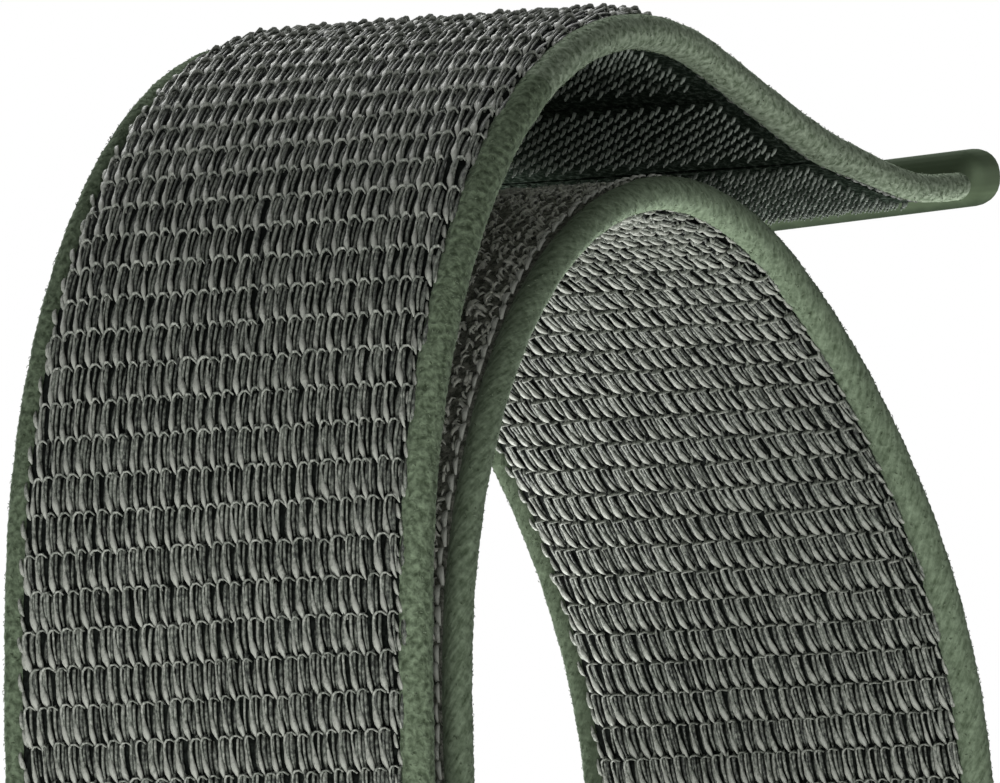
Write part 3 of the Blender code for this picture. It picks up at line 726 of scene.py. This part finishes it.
def rolled_rim(name, way, start, end, side, seed, rounded):
    """A strip of tape laid flat, rolled into a tube and swelled into the ribs of its knit."""
    length = end - start
    bpy.ops.object.select_all(action="DESELECT")
    bpy.ops.mesh.primitive_grid_add(x_subdivisions=round(length / RIM_STEP),
                                    y_subdivisions=RIM_AROUND, size=1.0)
    rim = bpy.context.object
    rim.name = name
    rim.data.name = name
    tape = vertex_places(rim.data)
    along = start + (tape[:, 0] + 0.5) * length
    around = (tape[:, 1] + 0.5) * 2 * pi
    if way is wrist_way:
        slanted = 2 * pi * along / RIB_PITCH - 16 * around + 0.8 * np.sin(along * 1900)
        ribs = 0.028 * np.sin(slanted)
    else:
        waved = 2 * pi * (along / RIB_PITCH + 0.6 * np.sin(around)) + np.sin(along * 2100)
        ribs = 0.02 * np.sin(waved)
    lumps = (np.sin(along / (0.83 * MM) + 2.1 * np.cos(around + seed))
             + np.sin(along / (0.41 * MM) + seed + 3.3 * np.sin(around)))
    radius = RIM_RADIUS * (0.96 + ribs + 0.012 * lumps) * flank(around, side, way)
    if rounded:
        past = np.clip((along - (end - RIM_ROUNDING)) / RIM_ROUNDING, 0, 1)
        radius = radius * thinned(along) * np.sqrt(1.0 - 0.98 * past ** 2)
    rolled = np.column_stack([along, RIM_CENTRES[side] + radius * np.cos(around),
                              radius * np.sin(around)])
    flat_map(rim.data, np.column_stack([along, around * RIM_RADIUS]) / MM)
    rim.data.vertices.foreach_set("co", rolled.ravel())
    weld_and_cap(60)
    return rim


def rim_knit(name, slant, deep, high):
    """Felted nylon knit: dull sage green, mottled with painted shade where stitches lie deeper, with
    a pale bloom of loose fibre ends at its edges. The slant share shows the diagonal stitches
    through the felt."""
    knit, surface = new_material(name, {"Roughness": 0.9, "Specular IOR Level": 0.0,
                                        "Sheen Weight": 0.3, "Sheen Roughness": 0.4,
                                        "Sheen Tint": linear("#b9c8b6")})
    tree = knit.node_tree
    where = add_node(tree, "UVMap", {"uv_map": "flat"})
    mottle = add_node(tree, "TexNoise", {"Scale": 2.6, "Detail": 3.0, "Roughness": 0.55,
                                                   "Distortion": 0.3},
                      {"Vector": where.outputs["UV"]})
    slanted = add_node(tree, "Mapping", {"vector_type": "TEXTURE",
                                                   "Rotation": (0.0, 0.0, radians(35)),
                                                   "Scale": (1.2, 0.3, 1.0)},
                       {"Vector": where.outputs["UV"]})
    stitches = add_node(tree, "TexNoise", {"Scale": 1.0, "Detail": 3.0,
                                                     "Roughness": 0.6},
                        {"Vector": slanted.outputs["Vector"]})
    mixed = add_node(tree, "Mix", {"data_type": "FLOAT", "Factor": slant},
                     {2: mottle.outputs["Fac"], 3: stitches.outputs["Fac"]})
    colour_by(surface, mixed.outputs[0], [(0.34, deep), (0.66, high)])
    relief_by(surface, mixed.outputs[0], 0.8, 0.15 * MM)
    return knit


# The far rims' knits are the near ones painted darker, a painted shade
felted_knit = {"near": rim_knit("felted_nylon_knit", 0.0, "#434e3c", "#7a8971"),
               "far": rim_knit("felted_nylon_knit_far_painted_shade", 0.0, "#3c4636", "#6e7c66")}
# The tail's rims get a paler knit, a painted light; its far one is also painted darker, a painted
# shade
tail_painted_light_knit = {"near": rim_knit("worn_nylon_knit", 0.0, "#5a6752", "#9aa792"),
             "far": rim_knit("worn_nylon_knit_far", 0.0, "#4b5744", "#84937b")}
ribbed_knit = {"near": rim_knit("ribbed_nylon_knit", 0.6, "#475340", "#82917a"),
               "far": rim_knit("ribbed_nylon_knit_far_painted_shade", 0.6, "#353e30", "#5f6b58")}
rim_nodes = {"wrist_leg": ("wrist_rim_left", "fold_rim_left"), "wrist_crown": (),
             "wrist_right": ("wrist_rim_right", "fold_rim_right"),
             "outer": ("outer_rim",), "tail_slope": ("tail_rim_root", "tail_rim_middle"),
             "tail_tip": ("tail_rim_end",)}
for number, (name, way, start, end, crossing, twist) in enumerate(stretches):
    # Tail stretches take the knit painted paler, a painted light
    tail_painted_light_or_felted_knit = tail_painted_light_knit if name.startswith("tail") else felted_knit
    knit = ribbed_knit if way is wrist_way else tail_painted_light_or_felted_knit
    stop = end - RIM_TIP_GAP if twist else end
    for place, side in SIDES:
        rim = rolled_rim(f"rim_{name}_{place}", way, start, stop, side, number + side, twist)
        rim.data.materials.append(knit[place])
        fit(rim, way, crossing, [f"{node}_{place}" for node in rim_nodes[name]],
            twist)


# Fuzz of the rims: loose fibre ends that stand off the knit all round, pointing every way, and
# soften its outline

FIBRES_PER_MM = 26
FUZZ_DEPTH = 0.95
FUZZ_TIP_GAP = 0.8 * MM
FAR_FUZZ_PAINTED_SHADE = 0.35
fibre = tapered_thread("fibre", 3, [(0.00, 0.00, -0.03, 0.020, 0.020),
                                    (0.05, 0.01, 0.05, 0.018, 0.018),
                                    (0.14, 0.03, 0.05, 0.008, 0.008)])

# Loose nylon fibre: the rim's green, paled by the light that passes through each end
fibre_nylon = shaded_nylon("loose_nylon_fibre", "#49543f", "#8a9782",
                           {"Roughness": 0.9, "Specular IOR Level": 0.0})

for name, way, start, end, crossing, twist in stretches:
    for place, side in SIDES:
        count = round((end - start) / MM * FIBRES_PER_MM)
        along = rng.uniform(start, end - FUZZ_TIP_GAP if twist else end, count)
        around = rng.uniform(0.0, 2 * pi, count)
        spin = rng.uniform(0.0, 2 * pi, count)
        size = rng.uniform(0.6, 1.4, count)
        radius = RIM_RADIUS * FUZZ_DEPTH * flank(around, side, way)
        if twist:
            radius = radius * thinned(along)
        out_y, out_z = np.cos(around), np.sin(around)
        ahead, beside = np.cos(spin) * size, np.sin(spin) * size
        places = matrices((ahead, -beside, 0.0, along),
                          (-beside * out_z, -ahead * out_z, out_y * size,
                           RIM_CENTRES[side] + radius * out_y),
                          (beside * out_y, ahead * out_y, out_z * size, radius * out_z))
        # Fuzz on the far rims is painted darker, a painted shade
        shades = rng.uniform(-0.1, 0.9, count) * (1.0 if side < 0 else FAR_FUZZ_PAINTED_SHADE)
        fuzz = repeated(f"rim_fuzz_{name}_{place}", fibre, fibre_nylon, places, shades)
        fit(fuzz, way, crossing, (), twist)
bpy.data.objects.remove(fibre)


# Border chains: a chain of bright grey stitches, two to each row, that locks the weave's edge
# to the rim on both faces

CHAIN_SWING = 0.2 * MM
CHAIN_BACK_HEIGHT = 0.78
CHAIN_PRESSED_SHADE, CHAIN_PRESSED_HEIGHT = -0.1, 0.5
CHAIN_PRESSED_GAP = 4 * MM
chain_stitch = tapered_thread("chain_stitch", 5, [
    (-0.08, 0.10, -0.04, 0.04, 0.04), (0.08, 0.06, 0.09, 0.10, 0.07), (0.34, 0.01, 0.13, 0.11, 0.08),
    (0.62, -0.06, 0.09, 0.08, 0.07), (0.92, -0.11, -0.04, 0.05, 0.05)])
for name, way, start, end, crossing, twist in stretches:
    towards_tail = way is outer_way
    main = 1 if towards_tail else -1
    places, shades = [], []
    for row, line in row_lines(start, end, towards_tail):
        for half in (0, 1):
            foot = line + half * ROW_PITCH / 2
            swing = CHAIN_SWING if half else -CHAIN_SWING
            # The back's near chain is painted brightest, a painted light for the deep gap where it
            # lies
            # Each chain: its place across, face, shade, share of the swing, width and lean
            for at, face, bright, swung, width, lean in (
                    (-10.44, main, 0.9, 0.6, 1.2, 0.0), (10.72, main, 0.7, 0.6, 1.2, 0.0),
                    (-10.56, -main, 1.5 - 0.5 * half, 0.2, 1.7, 0.3),
                    (10.5, -main, 0.6, 0.4, 1.4, 0.2)):
                height = CHAIN_BACK_HEIGHT
                if face == main:
                    height = (GROUND_TOP + float(belly(at * MM, foot, way))) / MM + 0.06
                    if towards_tail and foot > TAIL_END - WEAVE_TIP_GAP:
                        continue
                elif towards_tail and foot > HOOKS_START - CHAIN_PRESSED_GAP:
                    bright, height = CHAIN_PRESSED_SHADE, CHAIN_PRESSED_HEIGHT
                places.append(placed(foot + rng.normal(0.0, 0.04) * MM,
                                     at * MM + swung * swing + rng.normal(0.0, 0.02) * MM,
                                     towards_tail, face, rng.normal(lean, 0.05),
                                     width * rng.normal(1.0, 0.12), 1.0, height * MM))
                shades.append(bright + rng.uniform(0.0, 0.4))
    chain = repeated(f"border_chain_{name}", chain_stitch, strand_nylon, places, shades)
    fit(chain, way, crossing, (), twist)
bpy.data.objects.remove(chain_stitch)


# Hook fields: three moulded pads on the tail's underside that grip the loop pile, with plain
# flex strips between them

PAD_FACE = 0.52 * MM
PAD_THICKNESS = 0.4 * MM
PAD_HALF_WIDTH = 9.9 * MM
PAD_CELL = 0.6 * MM
FLEX_BEFORE, FLEX_AFTER = 0.9 * MM, 1.0 * MM
HOOK_PITCH = 0.99 * MM
HOOK_ROW = 0.575 * MM
HOOK_SHIFT = 0.33 * MM
HOOK_EDGE, HOOK_FIRST_ROW, HOOK_TIP_GAP = 0.5 * MM, 0.3 * MM, 2.4 * MM
# How much paler the middle pad's hooks are painted, a painted light
MIDDLE_PAD_PAINTED_LIGHT = 0.6

# One hook: a stem that leans a little and curls over at its top
bpy.ops.object.select_all(action="DESELECT")
bpy.ops.mesh.primitive_circle_add(vertices=6, radius=0.11 * MM, fill_type="NGON")
hook = bpy.context.object
bpy.ops.object.mode_set(mode="EDIT")
here = Vector((0.0, 0.0, 0.0))
for move, size, turn in (((0.0, 0.03, 0.15), 0.9, -4), ((0.01, 0.05, 0.13), 0.95, -16),
                         ((0.02, 0.07, 0.07), 1.0, -40), ((0.01, 0.06, -0.03), 0.8, -36)):
    step = Vector(move) * MM
    here += step
    bpy.ops.mesh.extrude_region_move(TRANSFORM_OT_translate={"value": step})
    bpy.ops.transform.resize(value=(size, size, size), center_override=here)
    bpy.ops.transform.rotate(value=radians(turn), orient_axis="X", center_override=here)
turn_faces_out()

# Moulded nylon hooks: near black with a dull grey light along each stem
hook_nylon = shaded_nylon("moulded_hook_nylon", "#545e54", "#b4beb3", {"Roughness": 0.45})

pads = [("root", "tail_root", HOOKS_START, FIRST_FLEX - FLEX_BEFORE, False),
        ("middle", "tail_middle", FIRST_FLEX + FLEX_AFTER, SECOND_FLEX - FLEX_BEFORE, False),
        ("end", "tail_end", SECOND_FLEX + FLEX_AFTER, TAIL_END, True)]
for name, body, start, end, twist in pads:
    pad = sheet(f"hook_pad_{name}", start, end, PAD_HALF_WIDTH, PAD_CELL, 16, PAD_THICKNESS,
                -PAD_FACE + PAD_THICKNESS / 2)
    pad.data.materials.append(pressed_nylon)
    fit(pad, outer_way, body, (f"hook_patch_{name}",), twist)
    places, shades = [], []
    rows = int((end - start - 2 * HOOK_FIRST_ROW) / HOOK_ROW)
    for row in range(rows + 1):
        along = start + HOOK_FIRST_ROW + row * HOOK_ROW
        if along > TAIL_END - HOOK_TIP_GAP:
            continue
        for column in range(-10, 11):
            across = column * HOOK_PITCH - row * HOOK_SHIFT % HOOK_PITCH
            if abs(across) > PAD_HALF_WIDTH - HOOK_EDGE:
                continue
            size = rng.normal(1.0, 0.1)
            turn = rng.normal(0.0, 0.12)
            places.append([[cos(turn), -sin(turn), 0.0, along],
                           [sin(turn), cos(turn), 0.0, across + rng.normal(0.0, 0.02) * MM],
                           [0.0, 0.0, -size, -PAD_FACE]])
            # Hooks are painted darker towards the tail's end, a painted shade, and paler on the
            # middle pad, a painted light
            shades.append(rng.uniform() * np.interp(TAIL_END - along, [2 * MM, 14 * MM], [0.1, 1])
                          + (MIDDLE_PAD_PAINTED_LIGHT if name == "middle" else 0.0))
    hooks = repeated(f"hooks_{name}", hook, hook_nylon, places, shades)
    fit(hooks, outer_way, body, (), twist)
bpy.data.objects.remove(hook)


# End tab: the smooth bar of bonded nylon that ends the tail and gives the fingers a hold, with
# a thin sleeve that grips the band's end

TAB_BOTTOM, TAB_HEIGHT = 1.18, 3.1


def rounded_block(name, size, past_tip, height, rounding, segments):
    """A block with rounded edges, in millimetres, that lies past_tip from the end of the band."""
    bpy.ops.object.select_all(action="DESELECT")
    bpy.ops.mesh.primitive_cube_add(size=1.0)
    block = bpy.context.object
    block.name = name
    block.scale = Vector(size) * MM
    block.location = (TAIL_END + past_tip * MM, 0.0, height * MM)
    bpy.ops.object.transform_apply()
    rounded = block.modifiers.new("rounding", "BEVEL")
    rounded.width = rounding * MM
    rounded.segments = segments
    bpy.ops.object.modifier_apply(modifier=rounded.name)
    return block


tab = rounded_block("end_tab", (4.3, 23.6, TAB_HEIGHT), 2.35, 0.37, 1.4, 6)
sleeve = rounded_block("tab_sleeve", (8.0, 20.2, 0.8), -3.2, 0.4, 0.4, 4)
tab.select_set(True)
bpy.context.view_layer.objects.active = tab
bpy.ops.object.join()
bpy.ops.object.mode_set(mode="EDIT")
bpy.ops.mesh.select_all(action="SELECT")
bpy.ops.mesh.subdivide(number_cuts=2)
bpy.ops.object.mode_set(mode="OBJECT")
bpy.ops.object.shade_smooth()
tab_points = vertex_places(tab.data) / MM
flat_map(tab.data, tab_points[:, :2])
rise = tab.data.attributes.new("rise", "FLOAT", "POINT")
rise.data.foreach_set("value", (tab_points[:, 2] + TAB_BOTTOM) / TAB_HEIGHT)

# Bonded nylon, smooth and dull: deep green, with painted light that makes it palest part way up its
# sides and painted shade that makes it darkest underneath and a little darker on top
tab_nylon, surface = new_material("bonded_nylon_tab",
                                  {"Roughness": 0.75, "Specular IOR Level": 0.03})
tree = tab_nylon.node_tree
where = add_node(tree, "TexCoord")
cloud = add_node(tree, "TexNoise", {"Scale": 900.0, "Detail": 4.0},
                 {"Vector": where.outputs["Object"]})
risen = add_node(tree, "Attribute", {"attribute_name": "rise"})
uneven = add_node(tree, "Math", {"operation": "MULTIPLY_ADD", 1: 0.1, 2: -0.05},
                  {0: cloud.outputs["Fac"]})
clouded = add_node(tree, "Math", {"operation": "ADD"},
                   {0: risen.outputs["Fac"], 1: uneven.outputs[0]})
colour_by(surface, clouded.outputs[0],
          [(0.03, "#2b3626"), (0.2, "#596750"), (0.55, "#6b7a62"), (0.95, "#4a5943")])
tab.data.materials.append(tab_nylon)
fit(tab, outer_way, "tail_end", ("tail_end_tab",), True)


# Seams of the return: two rows of zigzag stitches that sew the strip's end to itself, across the
# band and close to that end

STITCH_STEP = 1.6 * MM
STITCH_SWING = 0.4 * MM
STITCH_FOOT = GROUND_TOP + 0.15 * MM
stitch = tapered_thread("stitch", 8, [
    (0.00, 0.0, -0.02, 0.13, 0.09), (0.18, 0.0, 0.14, 0.15, 0.13), (0.90, 0.0, 0.20, 0.16, 0.14),
    (1.61, 0.0, 0.14, 0.15, 0.13), (1.79, 0.0, -0.02, 0.13, 0.09)])

# Bonded polyester thread: dark grey-green, with a low gloss and the twist of its plies
seam_thread, surface = new_material("bonded_polyester_thread", {"Roughness": 0.5})
tree = seam_thread.node_tree
where = add_node(tree, "UVMap", {"uv_map": "flat"})
plies = add_node(tree, "TexWave", {"bands_direction": "DIAGONAL", "Scale": 2.6,
                                             "Distortion": 0.6},
                 {"Vector": where.outputs["UV"]})
colour_by(surface, plies.outputs["Fac"], [(0.0, "#2f352d"), (1.0, "#5d665a")])
relief_by(surface, plies.outputs["Fac"], 0.8, 0.05 * MM)

for name, inset in (("upper", 2.2 * MM), ("lower", 4.6 * MM)):
    places = []
    for index in range(-6, 6):
        swing = STITCH_SWING if index % 2 else -STITCH_SWING
        slope = atan2(STITCH_STEP, -2 * swing)
        places.append([[cos(slope), -sin(slope), 0.0, STRIP_END - inset + swing],
                       [sin(slope), cos(slope), 0.0, index * STITCH_STEP],
                       [0.0, 0.0, -1.0, -STITCH_FOOT]])
    seam = repeated(f"return_stitches_{name}", stitch, seam_thread, places, np.zeros(len(places)))
    fit(seam, wrist_way, "strap_right", (f"return_seam_{name}",))
bpy.data.objects.remove(stitch)


# Lug connectors: steel blocks milled from bar and blasted, with ears that hold the crossbar and a
# rail that slides into the case; their edges are broken so that they don't cut the strap

EAR_INSIDE = BAND_HALF_WIDTH + 0.3 * MM
EAR_OUTSIDE = EAR_INSIDE + 1.3 * MM
EAR_RADIUS = 2.7
BAR_HOLE_RADIUS, LATCH_BORE_RADIUS = 1.4 * MM, 1.8 * MM
BROKEN_EDGE = 0.14 * MM
ear_turns = [radians(75 + 13.75 * step) for step in range(9)]
connector_outline = [(-2.4, -4.5), (5.5, -4.5), (5.5, -2.2), (6.3, -2.2), (6.3, -2.6), (7.2, -3.5),
                     (10.0, -3.5), (10.9, -2.6), (10.9, 0.6), (10.0, 1.5), (7.2, 1.5), (6.3, 0.6),
                     (6.3, 0.2), (5.5, 0.2), (5.5, 3.0), (3.9, 3.0)]
connector_outline += [(EAR_RADIUS * cos(turn), EAR_RADIUS * sin(turn)) for turn in ear_turns]


def cut_away(block, cutter):
    """Take the cutter's shape out of the block, and the cutter away."""
    slicing = block.modifiers.new("slicing", "BOOLEAN")
    slicing.operation = "DIFFERENCE"
    slicing.solver = "EXACT"
    slicing.object = cutter
    bpy.context.view_layer.objects.active = block
    bpy.ops.object.modifier_apply(modifier=slicing.name)
    bpy.data.objects.remove(cutter)


def connector_block(name, inward):
    """The side view extruded across the band, with pocket, bar hole and latch bore cut out."""
    bpy.ops.object.select_all(action="DESELECT")
    bpy.ops.mesh.primitive_circle_add(vertices=len(connector_outline), radius=1.0,
                                      fill_type="NGON")
    block = bpy.context.object
    block.name = name
    for vertex, (ahead, up) in zip(block.data.vertices, connector_outline):
        vertex.co = (inward * ahead * MM, -EAR_OUTSIDE, up * MM)
    bpy.ops.object.mode_set(mode="EDIT")
    bpy.ops.mesh.select_all(action="SELECT")
    bpy.ops.mesh.extrude_region_move(TRANSFORM_OT_translate={"value": (0.0, 2 * EAR_OUTSIDE, 0.0)})
    turn_faces_out()
    bpy.ops.mesh.primitive_cube_add(size=1.0, location=(inward * 0.1 * MM, 0.0, 0.0))
    pocket = bpy.context.object
    pocket.scale = (7.6 * MM, 2 * EAR_INSIDE, 12 * MM)
    cut_away(block, pocket)
    bpy.ops.mesh.primitive_cylinder_add(vertices=48, radius=BAR_HOLE_RADIUS,
                                        depth=2 * EAR_OUTSIDE + 2 * MM,
                                        rotation=(pi / 2, 0.0, 0.0))
    cut_away(block, bpy.context.object)
    bpy.ops.mesh.primitive_cylinder_add(vertices=48, radius=LATCH_BORE_RADIUS, depth=6 * MM,
                                        location=(inward * 8.6 * MM, 0.0, 0.1 * MM))
    cut_away(block, bpy.context.object)
    breaking = block.modifiers.new("broken_edges", "BEVEL")
    breaking.width = BROKEN_EDGE
    breaking.segments = 3
    breaking.limit_method = "ANGLE"
    breaking.angle_limit = radians(35)
    breaking.use_clamp_overlap = True
    bpy.ops.object.select_all(action="DESELECT")
    block.select_set(True)
    bpy.context.view_layer.objects.active = block
    bpy.ops.object.modifier_apply(modifier=breaking.name)
    bpy.ops.object.shade_smooth_by_angle(angle=radians(30))
    return block


def steel(name, colour, noise, low, high):
    """Bare steel whose roughness runs from low to high with a fine noise, which comes back too."""
    metal, surface = new_material(name, {"Metallic": 1.0, "Base Color": linear(colour)})
    tree = metal.node_tree
    where = add_node(tree, "TexCoord")
    fine = add_node(tree, "TexNoise", noise, {"Vector": where.outputs["Object"]})
    gloss = add_node(tree, "MapRange", {"To Min": low, "To Max": high},
                     {"Value": fine.outputs["Fac"]})
    tree.links.new(gloss.outputs["Result"], surface.inputs["Roughness"])
    return metal, surface, fine


# Stainless steel, bead-blasted: dull grey metal with a fine even grain
blasted_steel, surface, grain = steel("blasted_stainless_steel", "#8f908e",
                                      {"Scale": 9000.0, "Detail": 2.0}, 0.34, 0.5)
relief_by(surface, grain.outputs["Fac"], 0.3, 0.01 * MM)

for side, bar, inward in (("left", LEFT_BAR, 1), ("right", RIGHT_BAR, -1)):
    block = connector_block(f"connector_{side}", inward)
    block.location = (bar[0], 0.0, bar[1])
    bpy.ops.object.transform_apply()
    block.data.materials.append(blasted_steel)
    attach(block, f"lug_{side}")
    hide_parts(f"lug_frame_{side}")


# Crossbars, their screws and the sprung latches: turned from bright steel wire and bar, with the
# uneven gloss that the lathe leaves

turned_steel, _, _ = steel("turned_steel", "#b2b3b2", {"Scale": 5000.0, "Detail": 3.0}, 0.18, 0.3)
for name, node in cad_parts.items():
    if name.startswith(("crossbar", "latch_pin", "latch_bush")):
        node.data.materials.clear()
        node.data.materials.append(turned_steel)


# Latch springs: hard-drawn steel wire, wound in three turns. Each stands on the floor of its bore
# under the pin's collar, at its rest length.

SPRING_WIRE_RADIUS = 0.15 * MM
SPRING_TURNS = 3
for side in ("left", "right"):
    low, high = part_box(f"latch_spring_{side}")
    bottom, top = low[2] + SPRING_WIRE_RADIUS, high[2] - SPRING_WIRE_RADIUS
    axis_x = (low[0] + high[0]) / 2
    coil_radius = (high[1] - low[1]) / 2 - SPRING_WIRE_RADIUS
    bpy.ops.object.select_all(action="DESELECT")
    bpy.ops.mesh.primitive_circle_add(vertices=10, radius=SPRING_WIRE_RADIUS, fill_type="NOTHING",
                                      location=(coil_radius, 0.0, bottom),
                                      rotation=(pi / 2, 0.0, 0.0))
    spring = bpy.context.object
    spring.name = f"coil_spring_{side}"
    bpy.ops.object.transform_apply()
    winding = spring.modifiers.new("winding", "SCREW")
    winding.axis = "Z"
    winding.steps = winding.render_steps = 28
    winding.iterations = SPRING_TURNS
    winding.screw_offset = (top - bottom) / SPRING_TURNS
    bpy.ops.object.modifier_apply(modifier=winding.name)
    spring.location = (axis_x, 0.0, 0.0)
    bpy.ops.object.transform_apply()
    weld_and_cap(50)
    spring.data.materials.append(turned_steel)
    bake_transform(spring)
    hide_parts(f"latch_spring_{side}")
